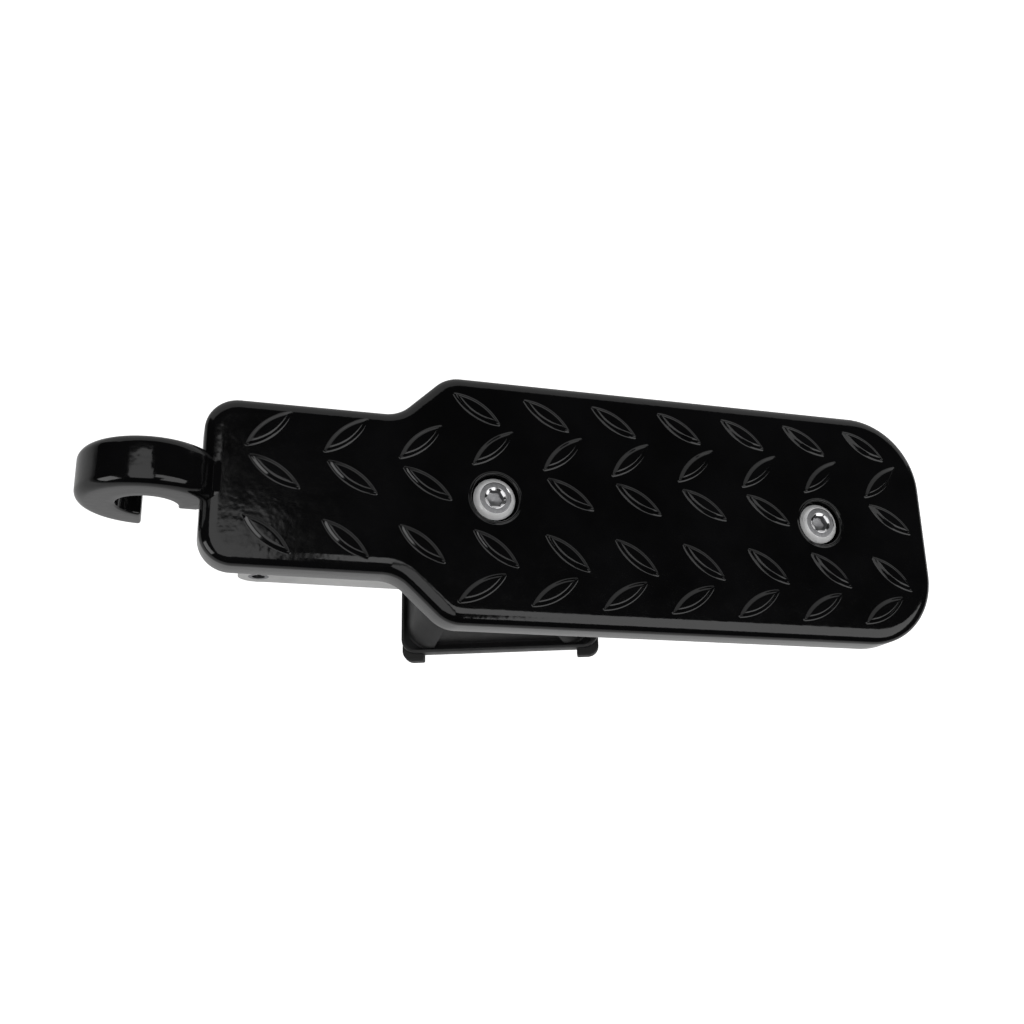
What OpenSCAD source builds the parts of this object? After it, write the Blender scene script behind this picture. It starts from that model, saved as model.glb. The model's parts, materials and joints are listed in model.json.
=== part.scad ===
// Hook-on vehicle step with a folding support leg.
// The hook goes round the striker bar of a door latch, the tread reaches outward,
// and the leg swings down until its rubber pads rest on the bodywork.
// Origin: centre of the hook's bore. +X points outward along the tread, +Z is up.
// The leg is drawn folded under the tread.

/* [Hook] */
// Radius of the bore that goes round the striker bar
hook_bore_r = 7.1; // [6.5:0.1:7.5]
// Outer radius of the hook
hook_outer_r = 16.4; // [15.5:0.1:17.5]
// Width of the hook across the step
hook_width = 12; // [10:0.5:14]
// Chamfer on the hook's long edges
hook_chamfer = 2; // [0.5:0.1:2.5]
// How far short of the bore's centre the lower jaw ends
tip_offset = 1.4; // [0.5:0.1:2.5]
// Distance from the bore's centre to the mouth's inner corner
mouth_x = 4; // [3:0.1:5]
// Height of the mouth's inner corner above the bore's centre
mouth_z = 0.4; // [0:0.1:1]

/* [Tread plate] */
// Height of the tread surface above the bore's centre
tread_height = 7.5; // [7:0.1:8.5]
// Thickness of the plate
plate_thickness = 9.5; // [9:0.1:10.5]
// Distance from the bore's centre to the plate's inner end
plate_start = 11.7; // [11:0.1:12.5]
// Length of the plate
plate_length = 194.7; // [190:0.1:200]
// Width of the wide part
plate_width = 64.4; // [62:0.2:66]
// Width of the neck
neck_width = 41.4; // [40:0.2:42]
// Length of the neck, up to where its edge would meet the shoulder
neck_length = 46.6; // [45:0.1:48]
// Length of the sloping shoulder
shoulder_run = 12.2; // [11:0.1:13]
// Radius of the shoulder's bends
shoulder_r = 9; // [7:0.5:9]
// Radius of the neck's two inner corners
neck_corner_r = 8; // [6:0.5:10]
// Radius of the two outer corners
corner_r = 20; // [16:0.5:22]
// Thickness of the skin over the pockets in the underside
skin = 5; // [4:0.5:6]

/* [Tread lozenges] */
// Distance from one lozenge to the next along a row
lozenge_pitch = 18.5; // [18:0.1:19]
// Length of a lozenge
lozenge_length = 15.6; // [13:0.1:16.5]
// Width of a lozenge
lozenge_width = 4.6; // [3:0.1:5]
// Height of a lozenge above the tread
lozenge_height = 0.8; // [0.4:0.1:1.2]
// Lean of the lozenges in the middle and outer rows
steep_lean = 42; // [38:1:46]
// Lean of the lozenges in the rows between
shallow_lean = 32; // [28:1:36]
// Distance of the middle row from the centre line
middle_row_y = 2.4; // [1:0.1:4]
// Distance of the next rows from the centre line
inner_row_y = 13.15; // [12.5:0.05:14]
// Distance of the edge rows from the centre line
edge_row_y = 23.3; // [22.5:0.1:23.5]

/* [Tread screws] */
// Distance from the bore's centre to the inner screw
inner_screw_x = 82.5; // [82:0.1:84]
// Distance between the two screws
screw_spacing = 90.7; // [88:0.1:92]
// Radius of the screws' shanks
screw_r = 3; // [3:0.5:3]
// Radius of the screw heads
head_r = 5.5; // [5:0.1:5.8]
// Radius of the flat on top of a head, inside its bevel
head_flat_r = 4.05; // [3.5:0.05:4.5]
// Height of a head
head_height = 3.2; // [2.6:0.1:3.4]
// Size of the hex socket across its flats
socket_flats = 4; // [3.5:0.1:4.5]
// Radius of the round recess that a head sits in
recess_r = 6.1; // [6:0.1:6.4]
// Outer radius of the raised ring around a recess
rim_r = 6.8; // [6.6:0.1:7.6]

/* [Spine channel] */
// Outer width of the channel under the plate
spine_width = 36.6; // [36:0.1:38]
// Wall thickness of the channel
spine_t = 2; // [1.5:0.1:2]
// Height of the channel's sides, its web included
spine_height = 14.8; // [14.3:0.1:15]
// Distance from the bore's centre to the channel's outer end
spine_end = 184; // [182:0.5:186]

/* [Folding leg] */
// Distance from the bore's centre to the pivot
pivot_x = 27.2; // [26.5:0.1:28]
// Depth of the pivot below the bore's centre
pivot_drop = 12; // [11.8:0.1:12.2]
// Outer width of the leg
leg_width = 30; // [29.5:0.1:30]
// Wall thickness of the leg
leg_t = 2; // [1.5:0.1:2]
// Distance from the bore's centre to the leg's free end
leg_end = 109; // [107:0.5:112]
// Radius of the pivot pin
pin_r = 2.5; // [2.5:0.1:2.5]
// Running clearance round the pin
pin_play = 0.05; // [0.02:0.01:0.1]

/* [Foot] */
// Tilt of the foot's contact face from the leg
foot_tilt = 21.2; // [18:0.1:24]
// Distance from the bore's centre to the middle of the contact face
foot_x = 96.4; // [95:0.1:97]
// Depth of the middle of the contact face below the bore's centre
foot_drop = 38.2; // [37:0.05:40]
// Length of the foot along the leg
foot_length = 54.3; // [53:0.1:56]
// Width of the foot's flange
flange_width = 59; // [56:0.5:60]
// Width of the rubber pads
pad_width = 62.8; // [60:0.2:64]
// Length of each pad along the leg
pad_length = 6; // [5:0.1:8]
// Thickness of each pad
pad_t = 3.5; // [3:0.1:4]
// Height of the flange's top above the contact face
flange_top = 5.5; // [5:0.1:6]
// Inward lean of the foot's end walls, per unit of height
end_flare = 0.49; // [0.4:0.01:0.75]
// Inward lean of the foot's side walls, per unit of height
side_flare = 0.4; // [0.3:0.01:0.55]
// Length of the cut across each upright corner of the foot
corner_cut = 9; // [5:0.5:12]

/* [Hidden] */
$fn = 96;
eps = 0.01;
cut = 1;

plate_bottom = tread_height - plate_thickness;
plate_end = plate_start + plate_length;
neck_end = plate_start + neck_length;
wide_start = neck_end + shoulder_run;
shoulder_rise = (plate_width - neck_width) / 2;
shoulder_angle = atan2(shoulder_rise, shoulder_run);
shoulder_tangent = shoulder_r * tan(shoulder_angle / 2);
screw_xs = [inner_screw_x, inner_screw_x + screw_spacing];
screw_clearance = 0.3;
clear_r = screw_r + screw_clearance;
arc_steps = 12;
recess_floor = tread_height - head_height;
rim_height = 0.2;

// Each row: distance from the centre line, start offset, lean, first and last column.
lozenge_rows = [
    [edge_row_y, -5.9, -shallow_lean, 3, 9],
    [inner_row_y, -1.8, steep_lean, 0, 9],
    [middle_row_y, 0, -shallow_lean, 0, 9],
    [-inner_row_y, -1.3, -steep_lean + 4, 0, 9],
    [-edge_row_y, -5, shallow_lean, 3, 9]
];
lozenge_start = 28.3;

spine_top = plate_bottom;
web_bottom = spine_top - spine_t;
spine_bottom = spine_top - spine_height;
pivot_z = -pivot_drop;
ear_r = 5;
spine_inner = spine_width / 2 - spine_t;

leg_half = leg_width / 2;
leg_reach = 0.15;
leg_bottom = spine_bottom - leg_reach;
leg_web_top = leg_bottom + leg_t;
leg_ear_r = 4.5;
leg_top = pivot_z + leg_ear_r;
heel = 5.9;
flange_t = 0.8;
bush_r = 3.3;
bush_bore = pin_r + pin_play;
shim_t = 0.4;
shim_r = ear_r - 0.2;

washer_t = 1.6;
nut_top = web_bottom - washer_t;
nut_height = 6;
hex_height = 4.5;
nut_flats = 10;
screw_tip = 0.5;
screw_end = nut_top - nut_height - screw_tip;
washer_r = 6;
collar_r = 4.8;
collar_lip = 0.8;
thread_gap = 0.02;

foot_screw_x = 97;
foot_screw_y = 7.5;
foot_screw_r = 2.5;
foot_head_r = 4.75;
foot_head_h = 2.75;
foot_washer_t = 1;
foot_washer_play = 0.15;
seat_gap = 0.02;
foot_seat = leg_bottom - seat_gap;
foot_clearance = 0.3;
saddle = spine_bottom - 0.4;
insert_r = 3.5;
insert_length = 9;
pad_key_w = 2.6;
pad_key_h = 1.2;
pad_key_inset = 4;
pad_relief = 1;
pad_gap = 0.1;
end_ledge = 1.8;
side_ledge = 1.1;

// Radius of the circle through the corners of a hexagon with the given flats.
function hex_r(flats) = flats / 2 / cos(30);

// A cylinder along Y, centred at [x, z], from y0 to y1.
module y_cylinder(r, x, z, y0, y1) {
    translate([x, y1, z]) rotate([90, 0, 0]) cylinder(r = r, h = y1 - y0);
}

// An outline in the XZ plane, extruded along Y from y0 to y1.
module y_prism(y0, y1) {
    translate([0, y1, 0]) rotate([90, 0, 0]) linear_extrude(y1 - y0) children();
}

// A box given by its two corners.
module span(low, high) {
    translate(low) cube(high - low);
}

// ---- Tread plate ----

// Points along an arc about c, from angle a0 to angle a1.
function arc(c, r, a0, a1) =
    [for (i = [0:arc_steps]) c + r * [cos(a0 + (a1 - a0) * i / arc_steps),
        sin(a0 + (a1 - a0) * i / arc_steps)]];

// The left half of the plate's edge, from the neck's corner to the outer corner.
function plate_edge() = concat(
    arc([plate_start + neck_corner_r, neck_width / 2 - neck_corner_r],
        neck_corner_r, 180, 90),
    arc([neck_end - shoulder_tangent, neck_width / 2 + shoulder_r],
        shoulder_r, 270, 270 + shoulder_angle),
    arc([wide_start + shoulder_tangent, plate_width / 2 - shoulder_r],
        shoulder_r, 90 + shoulder_angle, 90),
    arc([plate_end - corner_r, plate_width / 2 - corner_r], corner_r, 90, 0));

module plate_outline() {
    edge = plate_edge();
    last = len(edge) - 1;
    polygon(concat(edge, [for (i = [0:last]) [edge[last - i][0], -edge[last - i][1]]]));
}

// A pointed oval between two arcs.
module lozenge() {
    r = (pow(lozenge_length, 2) + pow(lozenge_width, 2)) / (4 * lozenge_width);
    linear_extrude(lozenge_height + cut)
        intersection() {
            translate([0, r - lozenge_width / 2]) circle(r);
            translate([0, -r + lozenge_width / 2]) circle(r);
        }
}

// The screws take the place of two lozenges in the middle row.
function is_screw(row, column) = row[0] == middle_row_y && (column == 3 || column == 8);

module lozenges() {
    for (row = lozenge_rows)
        for (column = [row[3]:row[4]])
            if (!is_screw(row, column))
                translate([lozenge_start + row[1] + column * lozenge_pitch, row[0],
                    tread_height - cut])
                    rotate(row[2]) lozenge();
}

// A disc with a bore for the striker bar and a mouth below it. The part of the disc
// inside the plate is its root.
module hook() {
    half = hook_width / 2;
    chamfer_r = hook_outer_r - hook_chamfer;
    far = 2 * hook_outer_r;
    root_lift = 0.3;
    root_z = plate_bottom + root_lift;
    difference() {
        rotate([90, 0, 0]) rotate_extrude()
            polygon([[0, -half], [chamfer_r, -half], [hook_outer_r, -half + hook_chamfer],
                [hook_outer_r, half - hook_chamfer], [chamfer_r, half], [0, half]]);
        y_cylinder(hook_bore_r, 0, 0, -hook_width, hook_width);
        y_prism(-hook_width, hook_width)
            polygon([[-tip_offset, -far], [-tip_offset, mouth_z], [mouth_x, mouth_z],
                [plate_start + cut, root_z], [far, root_z], [far, -far]]);
    }
}

// One lightening pocket in the underside.
module pocket(x0, x1, y0, y1) {
    span([x0, y0, plate_bottom - cut], [x1, y1, tread_height - skin]);
}

module pockets() {
    count = 6;
    length = 16;
    rib = 2.5;
    start = 76;
    edge_wall = 4;
    inner_y = spine_width / 2 + 1;
    outer_y = plate_width / 2 - edge_wall;
    end_start = spine_end + rib;
    end_length = 12;
    end_half_width = 14;
    for (i = [0:count - 1]) {
        x = start + i * (length + rib);
        pocket(x, x + length, inner_y, outer_y);
        pocket(x, x + length, -outer_y, -inner_y);
    }
    pocket(end_start, end_start + end_length, rib / 2, end_half_width);
    pocket(end_start, end_start + end_length, -end_half_width, -rib / 2);
}

module tread_plate() {
    color([0.02, 0.02, 0.022])
    difference() {
        union() {
            translate([0, 0, plate_bottom]) linear_extrude(plate_thickness) plate_outline();
            lozenges();
            for (x = screw_xs)
                translate([x, 0, tread_height - cut])
                    cylinder(r = rim_r, h = rim_height + cut);
            hook();
        }
        for (x = screw_xs) {
            translate([x, 0, recess_floor]) cylinder(r = recess_r, h = plate_thickness);
            translate([x, 0, plate_bottom - cut]) cylinder(r = clear_r, h = plate_thickness);
        }
        pockets();
    }
}

// ---- Screws, washers and lock nuts that hold the channel to the plate ----

module tread_screw(x) {
    bevel = head_r - head_flat_r;
    socket_depth = 2.2;
    color([0.62, 0.62, 0.63])
    translate([x, 0, 0])
    difference() {
        union() {
            translate([0, 0, tread_height - bevel])
                cylinder(r1 = head_r, r2 = head_flat_r, h = bevel);
            translate([0, 0, recess_floor])
                cylinder(r = head_r, h = head_height - bevel);
            translate([0, 0, screw_end])
                cylinder(r = screw_r, h = recess_floor - screw_end + eps);
        }
        translate([0, 0, tread_height - socket_depth])
            cylinder(r = hex_r(socket_flats), h = socket_depth + cut, $fn = 6);
    }
}

module washer(x) {
    color([0.7, 0.7, 0.72])
    translate([x, 0, nut_top])
    difference() {
        cylinder(r = washer_r, h = washer_t);
        translate([0, 0, -cut]) cylinder(r = clear_r, h = washer_t + 2 * cut);
    }
}

module lock_nut(x) {
    ring_depth = 1.2;
    color([0.66, 0.66, 0.68])
    translate([x, 0, nut_top - nut_height])
    difference() {
        union() {
            cylinder(r = collar_r, h = nut_height);
            translate([0, 0, nut_height - hex_height])
                cylinder(r = hex_r(nut_flats), h = hex_height, $fn = 6);
        }
        translate([0, 0, -cut]) cylinder(r = screw_r + thread_gap, h = nut_height + 2 * cut);
        translate([0, 0, -cut]) cylinder(r = collar_r - collar_lip, h = ring_depth + cut);
    }
}

module nut_ring(x) {
    ring_h = 1;
    ring_inset = 0.2;
    outer_r = collar_r - collar_lip - thread_gap;
    color([0.12, 0.2, 0.45])
    translate([x, 0, nut_top - nut_height + ring_inset])
    difference() {
        cylinder(r = outer_r, h = ring_h);
        translate([0, 0, -cut]) cylinder(r = screw_r + thread_gap, h = ring_h + 2 * cut);
    }
}

// ---- Spine channel ----

// Side of the channel: a rounded ear at the pivot, tapering at the outer end.
module spine_side_outline() {
    taper_start = 128;
    taper_height = 7;
    translate([pivot_x, pivot_z]) circle(ear_r);
    polygon([[pivot_x - ear_r, spine_top], [pivot_x - ear_r, pivot_z], [pivot_x, spine_bottom],
        [taper_start, spine_bottom], [spine_end, spine_top - taper_height],
        [spine_end, spine_top]]);
}

module spine_channel() {
    half = spine_width / 2;
    color([0.62, 0.62, 0.61])
    difference() {
        union() {
            span([pivot_x - ear_r, -half, web_bottom], [spine_end, half, spine_top]);
            y_prism(-half, -half + spine_t) spine_side_outline();
            y_prism(half - spine_t, half) spine_side_outline();
        }
        y_cylinder(pin_r, pivot_x, pivot_z, -half - cut, half + cut);
        for (x = screw_xs)
            translate([x, 0, web_bottom - cut]) cylinder(r = clear_r, h = spine_t + 2 * cut);
    }
}

// ---- Pivot ----

// Slotted spring pin, pressed into the ears of the channel.
module pivot_pin() {
    half = spine_width / 2;
    slot = 0.8;
    wall = 0.9;
    color([0.5, 0.5, 0.52])
    difference() {
        y_cylinder(pin_r, pivot_x, pivot_z, -half, half);
        y_cylinder(pin_r - wall, pivot_x, pivot_z, -half - cut, half + cut);
        span([pivot_x - slot / 2, -half - cut, pivot_z],
            [pivot_x + slot / 2, half + cut, pivot_z + pin_r + cut]);
    }
}

module bush(side) {
    inner = leg_half - leg_t;
    flange_r = ear_r - 0.1;
    color([0.86, 0.85, 0.8])
    mirror([0, side > 0 ? 0 : 1, 0])
    difference() {
        union() {
            y_cylinder(bush_r, pivot_x, pivot_z, inner, leg_half + eps);
            y_cylinder(flange_r, pivot_x, pivot_z, leg_half, leg_half + flange_t);
        }
        y_cylinder(bush_bore, pivot_x, pivot_z, inner - cut, leg_half + flange_t + cut);
    }
}

module shim_washer() {
    outer = spine_inner;
    color([0.72, 0.72, 0.74])
    difference() {
        y_cylinder(shim_r, pivot_x, pivot_z, -outer, -outer + shim_t);
        y_cylinder(bush_bore, pivot_x, pivot_z, -outer - cut, outer);
    }
}

// Coned spring washer that loads the pivot, so the leg stays where it is put.
module disc_spring() {
    steel = 0.25;
    cone = 0.2;
    gap = 0.03;
    low = leg_half + flange_t + gap;
    color([0.3, 0.3, 0.33])
    translate([pivot_x, low, pivot_z]) rotate([-90, 0, 0])
        rotate_extrude()
            polygon([[bush_bore, cone], [shim_r, 0], [shim_r, steel], [bush_bore, cone + steel]]);
}

// ---- Folding leg ----

module leg_side_outline() {
    nose = 4;
    translate([pivot_x, pivot_z]) circle(leg_ear_r);
    polygon([[pivot_x, leg_bottom], [leg_end, leg_bottom], [leg_end, leg_top - nose],
        [leg_end - nose, leg_top], [pivot_x, leg_top]]);
}

module leg_channel() {
    hole_r = foot_screw_r + 0.25;
    color([0.6, 0.6, 0.6])
    difference() {
        union() {
            span([pivot_x - heel, -leg_half, leg_bottom], [leg_end, leg_half, leg_web_top]);
            y_prism(-leg_half, -leg_half + leg_t) leg_side_outline();
            y_prism(leg_half - leg_t, leg_half) leg_side_outline();
        }
        y_cylinder(bush_r, pivot_x, pivot_z, -leg_half - cut, leg_half + cut);
        for (side = [-1, 1])
            translate([foot_screw_x, side * foot_screw_y, leg_bottom - cut])
                cylinder(r = hole_r, h = leg_t + 2 * cut);
    }
}

// ---- Foot ----

// Puts its children in the foot's own frame: the contact face is z = 0.
module at_foot() {
    translate([foot_x, 0, -foot_drop]) rotate([0, -foot_tilt, 0]) children();
}

module foot_flange() {
    r = 4;
    half_x = foot_length / 2;
    half_y = flange_width / 2;
    translate([0, 0, pad_relief])
    linear_extrude(flange_top - pad_relief) {
        square([2 * half_x - 2 * r, 2 * half_y], center = true);
        square([2 * half_x, 2 * half_y - 2 * r], center = true);
        for (x = [-1, 1])
            for (y = [-1, 1])
                translate([x * (half_x - r), y * (half_y - r)]) circle(r);
    }
}

// A wedge with its base on z = 0: half is half its width, lean the narrowing per height.
module wedge(half, lean, reach) {
    height = 32;
    top = half - lean * height;
    y_prism(-reach, reach) polygon([[-half, 0], [half, 0], [top, height], [-top, height]]);
}

// A tapering block with cut corners: the overlap of four wedges.
module foot_taper() {
    half_x = foot_length / 2 - end_ledge;
    half_y = flange_width / 2 - side_ledge;
    half_corner = (half_x + half_y - corner_cut) * cos(45);
    corner_flare = (end_flare + side_flare) * cos(45);
    intersection() {
        wedge(half_x, end_flare, flange_width);
        rotate(90) wedge(half_y, side_flare, foot_length);
        rotate(45) wedge(half_corner, corner_flare, foot_length);
        rotate(-45) wedge(half_corner, corner_flare, foot_length);
    }
}

module foot_block() {
    rebate = pad_length + pad_gap;
    half_x = foot_length / 2;
    color([0.05, 0.05, 0.052])
    difference() {
        at_foot() {
            foot_flange();
            translate([0, 0, flange_top - eps]) foot_taper();
        }
        at_foot()
            for (side = [-1, 1]) {
                middle = side * (half_x - pad_length / 2);
                span([side > 0 ? half_x - rebate : -half_x - cut, -pad_width, -cut],
                    [side > 0 ? half_x + cut : -half_x + rebate, pad_width, pad_t + pad_gap]);
                span([middle - pad_key_w / 2, -half_y_key(), 0],
                    [middle + pad_key_w / 2, half_y_key(), pad_t + pad_key_h]);
            }
        span([0, -pad_width, foot_seat], [2 * foot_x, pad_width, tread_height]);
        for (side = [-1, 1])
            span([0, side > 0 ? leg_half + foot_clearance : -pad_width, saddle],
                [2 * foot_x, side > 0 ? pad_width : -leg_half - foot_clearance, 0]);
        for (side = [-1, 1])
            translate([foot_screw_x, side * foot_screw_y, foot_seat - insert_length - cut])
                cylinder(r = insert_r, h = insert_length + 2 * cut);
    }
}

// Half the length of the key that holds a pad in its groove.
function half_y_key() = flange_width / 2 - pad_key_inset;

module pad(side) {
    r = 3;
    half_x = foot_length / 2;
    inner_x = half_x - pad_length;
    half_y = pad_width / 2;
    middle = half_x - pad_length / 2;
    color([0.045, 0.045, 0.047])
    at_foot() mirror([side > 0 ? 0 : 1, 0, 0]) {
        linear_extrude(pad_t) {
            translate([inner_x, -half_y]) square([pad_length - r, 2 * half_y]);
            translate([inner_x, -half_y + r]) square([pad_length, 2 * half_y - 2 * r]);
            for (y = [-1, 1])
                translate([half_x - r, y * (half_y - r)]) circle(r);
        }
        span([middle - pad_key_w / 2 + pad_gap, -half_y_key() + pad_gap, pad_t - eps],
            [middle + pad_key_w / 2 - pad_gap, half_y_key() - pad_gap, pad_t + pad_key_h - pad_gap]);
    }
}

module insert(side) {
    color([0.75, 0.6, 0.3])
    translate([foot_screw_x, side * foot_screw_y, foot_seat - insert_length])
    difference() {
        cylinder(r = insert_r, h = insert_length);
        translate([0, 0, -cut])
            cylinder(r = foot_screw_r + thread_gap, h = insert_length + 2 * cut);
    }
}

module foot_washer(side) {
    color([0.7, 0.7, 0.72])
    translate([foot_screw_x, side * foot_screw_y, leg_web_top])
    difference() {
        cylinder(r = foot_head_r + foot_washer_play, h = foot_washer_t);
        translate([0, 0, -cut])
            cylinder(r = foot_screw_r + foot_washer_play, h = foot_washer_t + 2 * cut);
    }
}

module foot_screw(side) {
    seat = leg_web_top + foot_washer_t;
    short = 1;
    tip = foot_seat - insert_length + short;
    top_r = 3;
    key = 3;
    socket_depth = 1.6;
    color([0.62, 0.62, 0.63])
    translate([foot_screw_x, side * foot_screw_y, 0])
    difference() {
        union() {
            translate([0, 0, seat]) cylinder(r1 = foot_head_r, r2 = top_r, h = foot_head_h);
            translate([0, 0, tip]) cylinder(r = foot_screw_r, h = seat - tip + eps);
        }
        translate([0, 0, seat + foot_head_h - socket_depth])
            cylinder(r = hex_r(key), h = socket_depth + cut, $fn = 6);
    }
}

tread_plate();
tread_screw(screw_xs[0]);  // tread_screw_inner
tread_screw(screw_xs[1]);  // tread_screw_outer
washer(screw_xs[0]);  // washer_inner
washer(screw_xs[1]);  // washer_outer
lock_nut(screw_xs[0]);  // lock_nut_inner
lock_nut(screw_xs[1]);  // lock_nut_outer
nut_ring(screw_xs[0]);  // nut_ring_inner
nut_ring(screw_xs[1]);  // nut_ring_outer
spine_channel();
pivot_pin();
shim_washer();
disc_spring();
leg_channel();
bush(1);  // bush_left
bush(-1);  // bush_right
foot_block();
insert(1);  // insert_left
insert(-1);  // insert_right
foot_screw(1);  // foot_screw_left
foot_screw(-1);  // foot_screw_right
foot_washer(1);  // foot_washer_left
foot_washer(-1);  // foot_washer_right
pad(-1);  // pad_inner
pad(1);  // pad_outer
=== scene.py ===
"""Looks of the hook-on vehicle step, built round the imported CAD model."""

import json
import math

import bmesh
import bpy
import numpy as np
from mathutils import Matrix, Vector
from mathutils.geometry import delaunay_2d_cdt

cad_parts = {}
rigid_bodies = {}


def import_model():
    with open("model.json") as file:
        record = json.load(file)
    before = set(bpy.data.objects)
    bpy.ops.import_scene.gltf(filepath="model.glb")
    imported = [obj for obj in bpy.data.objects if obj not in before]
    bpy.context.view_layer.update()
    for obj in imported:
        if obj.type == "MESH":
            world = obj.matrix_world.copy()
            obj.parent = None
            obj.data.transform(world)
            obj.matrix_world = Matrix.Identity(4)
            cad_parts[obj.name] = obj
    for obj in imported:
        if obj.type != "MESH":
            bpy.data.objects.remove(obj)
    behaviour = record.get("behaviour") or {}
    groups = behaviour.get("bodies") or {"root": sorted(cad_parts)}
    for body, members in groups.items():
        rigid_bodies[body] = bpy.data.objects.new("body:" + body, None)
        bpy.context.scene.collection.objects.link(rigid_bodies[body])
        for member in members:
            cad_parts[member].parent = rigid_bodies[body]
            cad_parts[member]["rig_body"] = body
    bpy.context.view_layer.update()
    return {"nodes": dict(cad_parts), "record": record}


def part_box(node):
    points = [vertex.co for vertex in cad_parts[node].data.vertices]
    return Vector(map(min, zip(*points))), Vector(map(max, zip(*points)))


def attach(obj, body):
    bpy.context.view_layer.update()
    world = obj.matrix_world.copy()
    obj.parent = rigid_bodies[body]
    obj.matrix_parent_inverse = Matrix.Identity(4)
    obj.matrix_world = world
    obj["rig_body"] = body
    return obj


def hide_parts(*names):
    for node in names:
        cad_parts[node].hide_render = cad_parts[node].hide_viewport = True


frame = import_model()
nodes = frame["nodes"]
MM = 0.001


def box_mm(node):
    """Lowest and highest corner of a CAD node, in millimetres."""
    low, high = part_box(node)
    return [v / MM for v in low], [v / MM for v in high]


# ---------------------------------------------------------------- camera
camera = bpy.data.objects.new("camera", bpy.data.cameras.new("camera"))
bpy.context.scene.collection.objects.link(camera)
camera.data.lens = 42.2
camera.data.sensor_width = 36
camera.data.clip_start = 0.01
camera.data.clip_end = 50
right = (0.95882, -0.019587, 0.28334)
up = (-0.070604, 0.949865, 0.304584)
back = (-0.2751, -0.312046, 0.909366)
place = (0.004719, -0.096325, 0.278288)
camera.matrix_world = Matrix([(right[i], up[i], back[i], place[i]) for i in range(3)] + [(0, 0, 0, 1)])
bpy.context.scene.camera = camera

# ---------------------------------------------------------------- sizes, in millimetres
plate_low, plate_high = box_mm("tread_plate")
PLATE_END = plate_high[0]
HOOK_R = -plate_low[0]
PLATE_START = 11.7
HALF_WIDE = plate_high[1]
HALF_NECK = 20.7
NECK_END = PLATE_START + 46.6
SHOULDER_RUN = 12.2
SHOULDER_R = 9.0
NECK_R = 8.0
CORNER_R = 20.0
TOP = 7.5
BOTTOM = -2.0
EDGE_IN = 3.9        # how far the rounded top edge reaches in from the wall
EDGE_DOWN = 2.7      # and how far down it
FOOT_EDGE_R = 1.0    # rounding of the plate's lower edge

POCKET_TOP = 2.5
POCKET_START = 76.0
POCKET_LENGTH = 16.0
POCKET_STEP = 18.5
POCKET_COUNT = 6
POCKET_NEAR, POCKET_FAR = 19.3, 28.2
END_POCKET_X, END_POCKET_HALF = 193.0, 6.0
END_POCKET_NEAR, END_POCKET_FAR = 1.25, 14.0

SCREWS = [sum(box_mm(n)[k][0] for k in (0, 1)) / 2 for n in ("tread_screw_inner", "tread_screw_outer")]
HEAD_R, FLAT_R = 5.5, 4.05
HOLE_R = 3.3
RECESS_R = 6.1
RECESS_Z = 4.3
RIM_FOOT_R, RIM_RUN, RIM_H = 7.0, 0.42, 0.2

PITCH = 18.5
LOZENGE_START = 28.3
LOZENGE_L = 15.6
LOZENGE_W = 4.6
LOZENGE_H = 0.8
LOZENGE_SLOPE = 1.35
MIDDLE_ROW_Y = 2.4
SCREW_COLUMNS = (3, 8)
# Each row: distance from the centre line, shift along it, lean, first and last column.
ROWS = [
    (23.3, -5.9, -32, 3, 9),
    (13.15, -1.8, 42, 0, 9),
    (MIDDLE_ROW_Y, 0.0, -32, 0, 9),
    (-13.15, -1.3, -38, 0, 9),
    (-23.3, -5.0, 32, 3, 9),
]

BORE_R = 7.1
HALF_HOOK = 6.0
HOOK_EDGE = 2.5      # rounding of the hook's long edges
BORE_SOFT = 0.6      # rounding where the bore meets the hook's sides
ROOT_FILLET = 2.5
TIP_X = -1.4
TIP_SOFT = 0.7

FOOT_X, FOOT_Z = 96.4, -38.2
FOOT_TILT = math.radians(21.2)
FOOT_HALF_X, FOOT_HALF_Y = 27.15, 29.5
END_LEDGE, SIDE_LEDGE = 1.8, 1.1
END_FLARE, SIDE_FLARE = 0.49, 0.4
FLANGE_TOP = 5.5
FLANGE_CORNER_R = 4.0
SADDLE_Z = -17.2
FOOT_CORNER_R, CORNER_GROWTH = 7.0, 0.05
SCOOP_HALF, SCOOP_DEPTH, SCOOP_FADE = 18.0, 1.25, 0.06

# ---------------------------------------------------------------- mesh helpers
def make(name, verts, faces, material, body, replaced=(), smooth=35):
    """A mesh object from points in millimetres, welded, with its faces turned outward."""
    mesh = bpy.data.meshes.new(name)
    mesh.from_pydata([[c * MM for c in v] for v in verts], [], faces)
    bm = bmesh.new()
    bm.from_mesh(mesh)
    bmesh.ops.remove_doubles(bm, verts=bm.verts, dist=2e-6)
    bmesh.ops.dissolve_degenerate(bm, edges=bm.edges, dist=1e-6)
    bmesh.ops.recalc_face_normals(bm, faces=bm.faces)
    bm.to_mesh(mesh)
    bm.free()
    obj = bpy.data.objects.new(name, mesh)
    bpy.context.scene.collection.objects.link(obj)
    mesh.materials.append(material)
    mesh.shade_smooth()
    mesh.set_sharp_from_angle(angle=math.radians(smooth))
    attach(obj, body)
    for node in replaced:
        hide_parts(node)
    return obj


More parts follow.
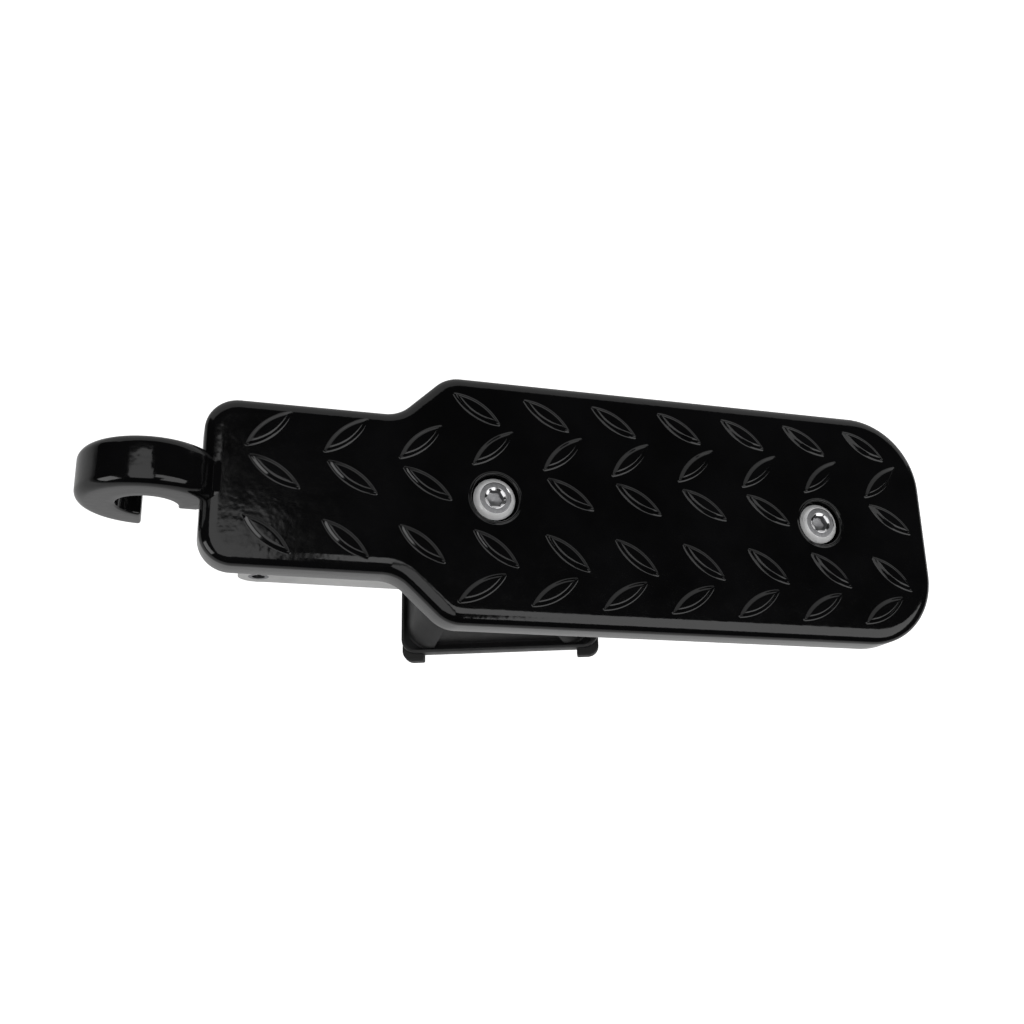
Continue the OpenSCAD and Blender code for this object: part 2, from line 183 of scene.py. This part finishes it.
class Mesh:
    """Gathers points and faces."""

    def __init__(self):
        self.verts, self.faces = [], []

    def ring(self, points):
        start = len(self.verts)
        self.verts.extend(points)
        return list(range(start, start + len(points)))

    def bridge(self, a, b):
        n = len(a)
        for i in range(n):
            j = (i + 1) % n
            self.faces.append((a[i], a[j], b[j], b[i]))

    def loft(self, rings, cap_start=False, cap_end=False):
        ids = [self.ring(r) for r in rings]
        for a, b in zip(ids, ids[1:]):
            self.bridge(a, b)
        if cap_start:
            self.faces.append(tuple(ids[0]))
        if cap_end:
            self.faces.append(tuple(ids[-1]))
        return ids

    def flat(self, outer, holes, z):
        """A flat face between an outer loop and holes, as triangles."""
        loops = [outer] + holes
        points = [p for loop in loops for p in loop]
        edges, n = [], 0
        for loop in loops:
            edges += [(n + i, n + (i + 1) % len(loop)) for i in range(len(loop))]
            n += len(loop)
        out, _, tris, _, _, _ = delaunay_2d_cdt([p[:2] for p in points], edges, [], 0, 1e-6)
        start = len(self.verts)
        self.verts.extend((p[0], p[1], z) for p in out)
        for t in tris:
            cx = sum(out[i][0] for i in t) / 3
            cy = sum(out[i][1] for i in t) / 3
            if inside(cx, cy, outer) and not any(inside(cx, cy, h) for h in holes):
                self.faces.append(tuple(start + i for i in t))


def inside(x, y, loop):
    hit = False
    for (x0, y0, *_), (x1, y1, *_) in zip(loop, loop[1:] + loop[:1]):
        if (y0 > y) != (y1 > y) and x < x0 + (y - y0) * (x1 - x0) / (y1 - y0):
            hit = not hit
    return hit


def arc(cx, cy, r, a0, a1, n):
    steps = [math.radians(a0 + (a1 - a0) * i / n) for i in range(n + 1)]
    return [(cx + r * math.cos(a), cy + r * math.sin(a)) for a in steps]


def circle(cx, cy, r, z, n=72):
    turns = [2 * math.pi * i / n for i in range(n)]
    return [(cx + r * math.cos(a), cy + r * math.sin(a), z) for a in turns]


def rounded_box(hx, hy, r, n=6):
    """A rounded rectangle about the origin, anticlockwise."""
    return (arc(hx - r, hy - r, r, 0, 90, n) + arc(-hx + r, hy - r, r, 90, 180, n)
            + arc(-hx + r, -hy + r, r, 180, 270, n) + arc(hx - r, -hy + r, r, 270, 360, n))


# ---------------------------------------------------------------- materials
def material(name, base, roughness, metallic=0.0, **more):
    """A Principled material whose colour, roughness and bump vary by procedural noise."""
    mat = bpy.data.materials.new(name)
    mat.use_nodes = True
    tree = mat.node_tree
    shader = tree.nodes["Principled BSDF"]
    shader.inputs["Metallic"].default_value = metallic
    for key in ("Coat Weight", "Coat Roughness", "IOR", "Anisotropic", "Specular IOR Level"):
        word = key.lower().replace(" ", "_")
        if word in more:
            shader.inputs[key].default_value = more[word]
    coords = tree.nodes.new("ShaderNodeTexCoord")

    def noise(scale, detail, rough=0.5, stretch=None):
        node = tree.nodes.new("ShaderNodeTexNoise")
        node.inputs["Scale"].default_value = scale
        node.inputs["Detail"].default_value = detail
        node.inputs["Roughness"].default_value = rough
        if stretch:
            mapping = tree.nodes.new("ShaderNodeMapping")
            mapping.inputs["Scale"].default_value = stretch
            tree.links.new(coords.outputs["Object"], mapping.inputs["Vector"])
            tree.links.new(mapping.outputs["Vector"], node.inputs["Vector"])
        else:
            tree.links.new(coords.outputs["Object"], node.inputs["Vector"])
        return node.outputs["Fac"]

    def spread(value, low, high):
        node = tree.nodes.new("ShaderNodeMapRange")
        node.inputs["From Min"].default_value = 0.3
        node.inputs["From Max"].default_value = 0.7
        node.inputs["To Min"].default_value = low
        node.inputs["To Max"].default_value = high
        tree.links.new(value, node.inputs["Value"])
        return node.outputs["Result"]

    vary = more.get("vary", 0.15)
    ramp = tree.nodes.new("ShaderNodeValToRGB")
    ramp.color_ramp.elements[0].position = 0.35
    ramp.color_ramp.elements[1].position = 0.65
    ramp.color_ramp.elements[0].color = [c * (1 - vary) for c in base] + [1]
    ramp.color_ramp.elements[1].color = [c * (1 + vary) for c in base] + [1]
    tree.links.new(noise(more.get("colour_scale", 120), 4), ramp.inputs["Fac"])
    tree.links.new(ramp.outputs["Color"], shader.inputs["Base Color"])
    low, high = roughness
    worn = spread(noise(more.get("rough_scale", 260), 5, 0.6), low, high)
    tree.links.new(worn, shader.inputs["Roughness"])
    normal = None
    for scale, detail, depth, stretch in more.get("bumps", ()):
        bump = tree.nodes.new("ShaderNodeBump")
        bump.inputs["Strength"].default_value = 1
        bump.inputs["Distance"].default_value = depth
        tree.links.new(noise(scale, detail, 0.5, stretch), bump.inputs["Height"])
        if normal:
            tree.links.new(normal, bump.inputs["Normal"])
        normal = bump.outputs["Normal"]
    if normal:
        tree.links.new(normal, shader.inputs["Normal"])
    return mat


gloss_black = material("gloss_black", (0.0035, 0.0035, 0.0038), (0.06, 0.13), colour_scale=60, vary=0.3,
                       bumps=[(560, 1, 2.4e-5, None), (2600, 2, 1.2e-6, None)])
bright_steel = material("bright_steel", (0.78, 0.78, 0.79), (0.1, 0.2), 1.0, vary=0.05, rough_scale=900,
                        bumps=[(3000, 3, 4e-6, None)])
# Near-white, mostly non-metal steel for the screw bevels: the white is painted reflection, standing in for
# the bright surroundings a turned steel bevel mirrors.
turned_steel_painted_reflection = material("turned_steel_painted_reflection", (0.95, 0.95, 0.95), (0.24, 0.4), 0.15, vary=0.04, colour_scale=700,
                        rough_scale=420, bumps=[(500, 2, 2.5e-5, None), (5200, 2, 6e-6, None)])
matte_steel = material("matte_steel", (0.36, 0.36, 0.37), (0.42, 0.58), 1.0, vary=0.12, colour_scale=2500,
                       bumps=[(4500, 4, 2.5e-5, None)])
zinc = material("zinc", (0.62, 0.62, 0.6), (0.28, 0.42), 1.0, vary=0.1, colour_scale=200,
                bumps=[(1500, 4, 6e-6, None)])
channel_metal = material("channel_metal", (0.55, 0.55, 0.545), (0.32, 0.45), 1.0, vary=0.08, colour_scale=90,
                         bumps=[(400, 5, 8e-6, (0.12, 1, 1)), (2500, 3, 4e-6, None)])
spring_steel = material("spring_steel", (0.2, 0.2, 0.21), (0.3, 0.45), 1.0, vary=0.15,
                        bumps=[(1800, 4, 8e-6, None)])
natural_nylon = material("natural_nylon", (0.78, 0.76, 0.68), (0.4, 0.55), vary=0.06,
                         bumps=[(1500, 3, 6e-6, None)])
blue_nylon = material("blue_nylon", (0.05, 0.12, 0.4), (0.4, 0.55), vary=0.12, bumps=[(1500, 3, 6e-6, None)])
foot_plastic = material("foot_plastic", (0.013, 0.013, 0.0135), (0.34, 0.48), vary=0.25,
                        bumps=[(2200, 3, 1.2e-5, None)])
pad_rubber = material("pad_rubber", (0.017, 0.017, 0.017), (0.55, 0.72), vary=0.25,
                      bumps=[(1700, 4, 3e-5, None)])
brass = material("brass", (0.75, 0.52, 0.22), (0.25, 0.4), 1.0, vary=0.08, bumps=[(1500, 4, 6e-6, None)])

# ---------------------------------------------------------------- tread plate
SHOULDER_ANGLE = math.degrees(math.atan2(HALF_WIDE - HALF_NECK, SHOULDER_RUN))
SHOULDER_TANGENT = SHOULDER_R * math.tan(math.radians(SHOULDER_ANGLE / 2))


def plate_loop(d):
    """The plate's outline, moved inward by d."""
    half = (arc(PLATE_START + NECK_R, HALF_NECK - NECK_R, NECK_R - d, 180, 90, 14)
            + arc(NECK_END - SHOULDER_TANGENT, HALF_NECK + SHOULDER_R, SHOULDER_R + d,
                  270, 270 + SHOULDER_ANGLE, 12)
            + arc(NECK_END + SHOULDER_RUN + SHOULDER_TANGENT, HALF_WIDE - SHOULDER_R, SHOULDER_R - d,
                  90 + SHOULDER_ANGLE, 90, 12)
            + arc(PLATE_END - CORNER_R, HALF_WIDE - CORNER_R, CORNER_R - d, 90, 0, 26))
    return half + [(x, -y) for x, y in reversed(half)]


def at_height(loop, z):
    return [(p[0], p[1], z) for p in loop]


def edge_drop(inset):
    """How far the rounded top edge lies below the tread, at a distance from the wall."""
    s = np.clip(1 - np.asarray(inset, float) / EDGE_IN, 0, 1)
    return EDGE_DOWN * (1 - np.sqrt(1 - s * s))


def plate_profile():
    """Inset and height of each ring, from the tread round the edge to the underside."""
    rings = [(EDGE_IN + 0.5, TOP)]
    for k in range(17):
        a = math.radians(90 * k / 16)
        rings.append((EDGE_IN * (1 - math.sin(a)), TOP - EDGE_DOWN * (1 - math.cos(a))))
    for k in range(7):
        a = math.radians(90 * k / 6)
        rings.append((FOOT_EDGE_R * (1 - math.cos(a)), BOTTOM + FOOT_EDGE_R * (1 - math.sin(a))))
    rings.append((FOOT_EDGE_R + 0.4, BOTTOM))
    return rings


plate = Mesh()
profile = plate_profile()
plate.loft([at_height(plate_loop(d), z) for d, z in profile])

# Low ring round each screw, its recess and the hole below.
rim_profile = [(RIM_FOOT_R + 0.5, TOP), (RIM_FOOT_R, TOP)]
for k in range(1, 9):
    t = k / 8
    rim_profile.append((RIM_FOOT_R - RIM_RUN * t, TOP + RIM_H * t * t * (3 - 2 * t)))
rim_profile += [
    (RECESS_R + 0.35, TOP + RIM_H), (RECESS_R + 0.23, TOP + 0.16), (RECESS_R + 0.12, TOP + 0.05),
    (RECESS_R + 0.04, TOP - 0.1), (RECESS_R, TOP - 0.3), (RECESS_R, RECESS_Z + 0.3),
    (RECESS_R - 0.3, RECESS_Z), (HOLE_R + 0.2, RECESS_Z), (HOLE_R, RECESS_Z - 0.2),
    (HOLE_R, BOTTOM + 0.2), (HOLE_R + 0.2, BOTTOM),
]
for x in SCREWS:
    plate.loft([circle(x, 0, r, z) for r, z in rim_profile])

top_holes = [circle(x, 0, rim_profile[0][0], TOP) for x in SCREWS]
plate.flat(at_height(plate_loop(profile[0][0]), TOP), top_holes, TOP)

# Pockets in the underside.
pockets = []
for i in range(POCKET_COUNT):
    middle_x = POCKET_START + i * POCKET_STEP + POCKET_LENGTH / 2
    for side in (-1, 1):
        pockets.append((middle_x, side * (POCKET_NEAR + POCKET_FAR) / 2,
                        POCKET_LENGTH / 2, (POCKET_FAR - POCKET_NEAR) / 2))
for side in (-1, 1):
    pockets.append((END_POCKET_X, side * (END_POCKET_NEAR + END_POCKET_FAR) / 2,
                    END_POCKET_HALF, (END_POCKET_FAR - END_POCKET_NEAR) / 2))
bottom_holes = [circle(x, 0, rim_profile[-1][0], BOTTOM) for x in SCREWS]
for cx, cy, hx, hy in pockets:
    rings = []
    for grow, z in ((0.3, BOTTOM), (0.1, BOTTOM + 0.1), (0, BOTTOM + 0.3), (-0.15, POCKET_TOP - 0.8),
                    (-0.4, POCKET_TOP - 0.25), (-0.9, POCKET_TOP)):
        loop = rounded_box(hx + grow, hy + grow, 1.5 + grow)
        rings.append([(cx + px, cy + py, z) for px, py in loop])
    plate.loft(rings, cap_end=True)
    bottom_holes.append(rings[0])
plate.flat(at_height(plate_loop(profile[-1][0]), BOTTOM), bottom_holes, BOTTOM)

# Lozenges: raised ovals with soft sides and rounded tips, laid over the rounded edge where they reach it.
edge_points = np.array(plate_loop(0))


def inset_of(x, y):
    """Distance of points inside the plate from its wall."""
    a, b = edge_points, np.roll(edge_points, -1, axis=0)
    d = b - a
    p = np.stack([x, y], -1)[:, None, :]
    t = np.clip(((p - a) * d).sum(-1) / (d * d).sum(-1), 0, 1)
    return np.sqrt((((a + t[..., None] * d) - p) ** 2).sum(-1)).min(1)


def lozenge_loop(t, length, width, tip=0.55):
    """A pointed oval with rounded tips, moved inward by t."""
    r = (length ** 2 + width ** 2) / (4 * width) - tip
    offset = r + tip - width / 2
    grow = max(tip - t, 0)
    inner = r - max(t - tip, 0)
    reach = math.degrees(math.acos(min(offset / inner, 1)))
    end = inner * math.sin(math.radians(reach))
    loop = []
    for side in (0, 180):
        body = [(inner + grow) * np.array((math.sin(math.radians(a)), math.cos(math.radians(a))))
                - np.array((0, offset)) for a in np.linspace(-reach, reach, 19)]
        cap = [np.array((end, 0)) + grow * np.array((math.sin(math.radians(a)), math.cos(math.radians(a))))
               for a in np.linspace(reach, 180 - reach, 7)[1:-1]]
        sign = 1 if side == 0 else -1
        loop += [(sign * p[0], sign * p[1]) for p in body + cap]
    return loop


# Inset and height of a lozenge's rings, from just under the tread to its flat top.
SUNK = 0.004
lozenge_rings = [(-0.12, -0.03)]
for k in range(15):
    t = k / 14
    lozenge_rings.append((LOZENGE_SLOPE * t, LOZENGE_H * t * t * (3 - 2 * t) - SUNK))
lozenge_rings += [(t, LOZENGE_H - SUNK) for t in (1.7, 2.0, 2.25)]
for y, shift, lean, first, last in ROWS:
    for column in range(first, last + 1):
        if y == MIDDLE_ROW_Y and column in SCREW_COLUMNS:
            continue
        x = LOZENGE_START + shift + column * PITCH
        c, s = math.cos(math.radians(lean)), math.sin(math.radians(lean))
        rings = []
        for t, h in lozenge_rings:
            flat = np.array(lozenge_loop(t, LOZENGE_L, LOZENGE_W))
            px = x + flat[:, 0] * c - flat[:, 1] * s
            py = y + flat[:, 0] * s + flat[:, 1] * c
            pz = TOP - edge_drop(inset_of(px, py)) + h
            rings.append([tuple(v) for v in np.stack([px, py, pz], 1)])
        plate.loft(rings, cap_end=True)


# Hook: a rounded band swept round the bore, with a root that runs into the plate.
def hook_section():
    """Half-loop pairs (radius, y) round the band's section."""
    out_r, in_r, soft = HOOK_R, BORE_R, BORE_SOFT
    loop = [(out_r, y) for y in (0, 1.8)]
    loop += [(out_r - HOOK_EDGE + HOOK_EDGE * math.cos(a),
              HALF_HOOK - HOOK_EDGE + HOOK_EDGE * math.sin(a))
             for a in np.radians(np.linspace(0, 90, 10))]
    loop += [(r, HALF_HOOK) for r in (12.6, 11.2, 9.6)]
    loop += [(in_r + soft - soft * math.sin(a), HALF_HOOK - soft + soft * math.cos(a))
             for a in np.radians(np.linspace(0, 90, 6))]
    loop += [(in_r, 3.5), (in_r, 1.8)]
    return loop + [(in_r, 0)] + [(r, -y) for r, y in reversed(loop[1:])]


root_centre_x = math.sqrt((HOOK_R + ROOT_FILLET) ** 2 - (TOP + ROOT_FILLET) ** 2)
root_angle = math.degrees(math.asin((TOP + ROOT_FILLET) / (HOOK_R + ROOT_FILLET)))
section = hook_section()
stations = []
for k in range(8, 0, -1):
    t = k / 8
    turn = math.radians(180 + root_angle + (90 - root_angle) * t)
    outer = (root_centre_x + ROOT_FILLET * math.cos(turn),
             TOP + ROOT_FILLET + ROOT_FILLET * math.sin(turn))
    inner_a = math.radians(root_angle - (root_angle + 4) * t)
    inner = (BORE_R * math.cos(inner_a), BORE_R * math.sin(inner_a))
    shares = [((r - BORE_R) / (HOOK_R - BORE_R), y) for r, y in section]
    stations.append([(inner[0] + (outer[0] - inner[0]) * share, y,
                      inner[1] + (outer[1] - inner[1]) * share) for share, y in shares])
for k in range(61):
    ring = []
    for r, y in section:
        end = 270 - math.degrees(math.asin((-TIP_X + TIP_SOFT) / r))
        a = math.radians(root_angle + (end - root_angle) * k / 60)
        ring.append((r * math.cos(a), y, r * math.sin(a)))
    stations.append(ring)
last = stations[-1]
mid_z = (min(p[2] for p in last) + max(p[2] for p in last)) / 2
half_tip = (HOOK_R - BORE_R) / 2
for a in np.radians(np.linspace(0, 90, 6))[1:]:
    inset = TIP_SOFT * (1 - math.cos(a))
    ring = []
    for x, y, z in last:
        ring.append((TIP_X - TIP_SOFT + TIP_SOFT * math.sin(a), y * (1 - inset / HALF_HOOK),
                     mid_z + (z - mid_z) * (1 - inset / half_tip)))
    stations.append(ring)
deep = [(min(x + 3.5, 17.5), y * 0.97, min(z, TOP) - 0.7) for x, y, z in stations[0]]
plate.loft([deep] + stations, cap_start=True, cap_end=True)
make("tread_plate_cast", plate.verts, plate.faces, gloss_black, "step", ["tread_plate"], 40)

# ---------------------------------------------------------------- tread screws
def hexagon(x, z, flats, n=72):
    loop = []
    for i in range(n):
        a = 2 * math.pi * i / n
        r = flats / 2 / math.cos((a % (math.pi / 3)) - math.pi / 6)
        loop.append((x + r * math.cos(a), r * math.sin(a), z))
    return loop


for name, x in zip(("tread_screw_inner", "tread_screw_outer"), SCREWS):
    tip_z = box_mm(name)[0][2]
    bevel = HEAD_R - FLAT_R
    outer = Mesh()
    rings = [circle(x, 0, 2.4, tip_z), circle(x, 0, 3.0, tip_z + 0.6), circle(x, 0, 3.0, RECESS_Z),
             circle(x, 0, HEAD_R - 0.15, RECESS_Z), circle(x, 0, HEAD_R, RECESS_Z + 0.15),
             circle(x, 0, HEAD_R, TOP - bevel - 0.12), circle(x, 0, HEAD_R - 0.06, TOP - bevel + 0.12),
             circle(x, 0, HEAD_R - 0.45, TOP - 0.86), circle(x, 0, HEAD_R - 0.9, TOP - 0.45),
             circle(x, 0, FLAT_R + 0.1, TOP - 0.08), circle(x, 0, FLAT_R, TOP - 0.02),
             circle(x, 0, FLAT_R - 0.12, TOP - 0.13), circle(x, 0, FLAT_R - 0.26, TOP - 0.1),
             circle(x, 0, 2.8, TOP - 0.1), circle(x, 0, 2.72, TOP - 0.14), circle(x, 0, 2.64, TOP - 0.1),
             hexagon(x, TOP - 0.36, 4.1), hexagon(x, TOP - 2.2, 4.0),
             circle(x, 0, 1.9, TOP - 2.3), circle(x, 0, 1.2, TOP - 2.45), circle(x, 0, 0.05, TOP - 2.8)]
    outer.loft(rings, cap_start=True, cap_end=True)
    screw = make(name + "_turned", outer.verts, outer.faces, bright_steel, "step", [name], 25)
    for extra in (matte_steel, turned_steel_painted_reflection):
        screw.data.materials.append(extra)
    for poly in screw.data.polygons:
        r = math.hypot(poly.center.x / MM - x, poly.center.y / MM)
        if poly.normal.z > 0.97 and 2.7 < r < FLAT_R - 0.1:
            poly.material_index = 1
        # The bevel gets the near-white steel, whose colour is painted reflection.
        elif poly.normal.z > 0.3 and r > FLAT_R:
            poly.material_index = 2
        elif poly.center.z / MM < TOP - 0.4 and r < 2.5:
            poly.material_index = 1

# ---------------------------------------------------------------- foot
def to_world(x, y, z):
    """From the foot's frame, with the contact face at z = 0, to the world."""
    c, s = math.cos(FOOT_TILT), math.sin(FOOT_TILT)
    return (FOOT_X + x * c - z * s, y, FOOT_Z + x * s + z * c)


def foot_columns(hx, hy, r, half_scoop, depth):
    """A loop in the foot's frame: rounded rectangle whose long sides are scooped between two ridges."""
    loop = []
    for side in (-1, 1):
        part = arc(-hx + r, -hy + r, r, 180, 270, 12)
        outer = [-hx + r + (hx - r - half_scoop) * k / 4 for k in range(1, 5)]
        part += [(px, -hy) for px in outer]
        inner = [-half_scoop + 0.25 + 2 * (half_scoop - 0.25) * k / 16 for k in range(17)]
        part += [(px, -hy + depth) for px in inner]
        part += [(-px, -hy) for px in reversed(outer)]
        part += arc(hx - r, -hy + r, r, 270, 360, 12)
        loop += part if side < 0 else [(-px, -py) for px, py in part]
    return loop


def wall_columns(h):
    """The foot's tapering wall at a height above the flange, as a loop in the foot's frame."""
    return foot_columns(FOOT_HALF_X - END_LEDGE - END_FLARE * h, FOOT_HALF_Y - SIDE_LEDGE - SIDE_FLARE * h,
                        FOOT_CORNER_R + CORNER_GROWTH * h, max(SCOOP_HALF - END_FLARE * h, 1),
                        max(SCOOP_DEPTH - SCOOP_FADE * h, 0.0))


def foot_body():
    foot = Mesh()
    base_x, base_y = FOOT_HALF_X - END_LEDGE, FOOT_HALF_Y - SIDE_LEDGE
    rings = []
    for inset, z in ((0.6, 1.0), (0.15, 1.15), (0, 1.5), (0, FLANGE_TOP - 0.5), (0.12, FLANGE_TOP - 0.14),
                     (0.45, FLANGE_TOP), (0.75, FLANGE_TOP)):
        loop = foot_columns(FOOT_HALF_X - inset, FOOT_HALF_Y - inset, FLANGE_CORNER_R - inset * 0.5,
                            SCOOP_HALF, 0)
        rings.append([to_world(px, py, z) for px, py in loop])
    # A narrow cove between the flange and the wall.
    for grow, z in ((0.0, FLANGE_TOP - 0.9), (-0.25, FLANGE_TOP - 0.6)):
        loop = foot_columns(base_x + grow + 0.5, base_y + grow + 0.1, FOOT_CORNER_R, SCOOP_HALF, 1.2)
        rings.append([to_world(px, py, z) for px, py in loop])
    # Each column of the wall runs up to the saddle, whose height depends on where the column gets to.
    tops = [6.0] * len(wall_columns(0))
    for _ in range(3):
        ends = [wall_columns(h)[i] for i, h in enumerate(tops)]
        tops = [(SADDLE_Z - FOOT_Z - px * math.sin(FOOT_TILT)) / math.cos(FOOT_TILT) - FLANGE_TOP
                for px, _y in ends]
    steps = 14
    for k in range(steps + 1):
        heights = [top * k / steps for top in tops]
        ring = []
        for i, h in enumerate(heights):
            px, py = wall_columns(h)[i]
            ring.append(to_world(px, py, FLANGE_TOP + h))
        rings.append(ring)
    foot.loft(rings, cap_start=True, cap_end=True)
    make("foot_moulded", foot.verts, foot.faces, foot_plastic, "leg", ["foot_block"], 24)


foot_body()


# ---------------------------------------------------------------- bevelled copies of the CAD parts
def softened(node, width, mat, segments=3):
    """A copy of a CAD node with its flat faces joined and its edges rounded."""
    source = nodes[node]
    mesh = source.data.copy()
    mesh.materials.clear()
    bm = bmesh.new()
    bm.from_mesh(mesh)
    bmesh.ops.remove_doubles(bm, verts=bm.verts, dist=1e-6)
    bmesh.ops.dissolve_limit(bm, angle_limit=math.radians(1), verts=bm.verts, edges=bm.edges)
    bm.to_mesh(mesh)
    bm.free()
    obj = bpy.data.objects.new(node + "_finished", mesh)
    bpy.context.scene.collection.objects.link(obj)
    mesh.materials.append(mat)
    mesh.shade_smooth()
    mesh.set_sharp_from_angle(angle=math.radians(35))
    bevel = obj.modifiers.new("edges", "BEVEL")
    bevel.width = width * MM
    bevel.segments = segments
    bevel.limit_method = "ANGLE"
    bevel.angle_limit = math.radians(40)
    bevel.use_clamp_overlap = True
    bevel.harden_normals = True
    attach(obj, source["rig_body"])
    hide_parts(node)
    return obj


for node, width, mat, slot in (
        ("spine_channel", 0.3, channel_metal, "channel_metal"),
        ("leg_channel", 0.3, channel_metal, "channel_metal"),
        ("pad_inner", 0.4, pad_rubber, "pad_rubber"),
        ("pad_outer", 0.4, pad_rubber, "pad_rubber")):
    softened(node, width, mat)

kept = {
    "zinc_steel": zinc, "spring_steel": spring_steel, "natural_nylon": natural_nylon,
    "blue_nylon": blue_nylon, "brass": brass, "screw_steel": matte_steel,
}
slots = {p["node"]: p["material_slot"] for p in frame["record"]["subparts"]}
for name, obj in nodes.items():
    if obj.hide_render:
        continue
    for place_slot in obj.material_slots:
        place_slot.material = kept[slots[name]]

# ---------------------------------------------------------------- stage
FLOOR_HALF, FLOOR_Z = 6.0, -0.125    # just below the foot with the leg swung down
floor_mesh = bpy.data.meshes.new("floor")
floor_corners = ((-1, -1), (1, -1), (1, 1), (-1, 1))
floor_mesh.from_pydata([(x * FLOOR_HALF, y * FLOOR_HALF, FLOOR_Z) for x, y in floor_corners],
                       [], [(0, 1, 2, 3)])
floor = bpy.data.objects.new("floor", floor_mesh)
bpy.context.scene.collection.objects.link(floor)
floor_mat = bpy.data.materials.new("floor_white")
floor_mat.use_nodes = True
floor_shader = floor_mat.node_tree.nodes["Principled BSDF"]
floor_shader.inputs["Base Color"].default_value = (0.9, 0.9, 0.9, 1)
floor_shader.inputs["Roughness"].default_value = 0.9
floor_shader.inputs["Emission Color"].default_value = (1, 1, 1, 1)
# The floor is white to the camera and darker in reflections.
floor_tree = floor_mat.node_tree
seen = floor_tree.nodes.new("ShaderNodeLightPath")
glow = floor_tree.nodes.new("ShaderNodeMapRange")
glow.inputs["To Min"].default_value = 0.12
glow.inputs["To Max"].default_value = 0.9
floor_tree.links.new(seen.outputs["Is Camera Ray"], glow.inputs["Value"])
floor_tree.links.new(glow.outputs["Result"], floor_shader.inputs["Emission Strength"])
floor_mesh.materials.append(floor_mat)


def panel(name, centre, turn, size, radiance):
    """A soft box: turn is its rotation in degrees, radiance how bright it looks."""
    data = bpy.data.lights.new(name, "AREA")
    data.shape = "RECTANGLE"
    data.size, data.size_y = size
    data.energy = radiance * math.pi * size[0] * size[1]
    light = bpy.data.objects.new(name, data)
    bpy.context.scene.collection.objects.link(light)
    light.location = centre
    light.rotation_euler = [math.radians(a) for a in turn]
    return light


panel("over_hook", (-0.21, -0.15, 0.75), (0, 0, 0), (0.48, 0.9), 1.15)
panel("over_neck", (0.06, -0.15, 0.75), (0, 0, 0), (0.06, 0.76), 1.15)
panel("over_shoulder", (0.225, -0.09, 0.75), (0, 0, 0), (0.19, 0.36), 1.7)
panel("over_tread", (0.84, -0.355, 0.75), (0, 0, 0), (1.04, 0.85), 1.7)
panel("near_left", (-0.75, -0.4, 0.3), (70.5, 0, -62), (0.5, 0.45), 2.4)
panel("far_side", (0.5, 1.1, 0.42), (-90, 0, 0), (3.6, 1.1), 0.55)

world = bpy.data.worlds.new("world")
bpy.context.scene.world = world
world.use_nodes = True
tree = world.node_tree
tree.nodes.clear()
output = tree.nodes.new("ShaderNodeOutputWorld")
mix = tree.nodes.new("ShaderNodeMixShader")
path = tree.nodes.new("ShaderNodeLightPath")
dark = tree.nodes.new("ShaderNodeBackground")
dark.inputs["Color"].default_value = (0.015, 0.015, 0.015, 1)
pale = tree.nodes.new("ShaderNodeBackground")
pale.inputs["Color"].default_value = (1, 1, 1, 1)
tree.links.new(path.outputs["Is Camera Ray"], mix.inputs["Fac"])
tree.links.new(dark.outputs["Background"], mix.inputs[1])
tree.links.new(pale.outputs["Background"], mix.inputs[2])
tree.links.new(mix.outputs["Shader"], output.inputs["Surface"])
bpy.context.scene.view_settings.view_transform = "Standard"
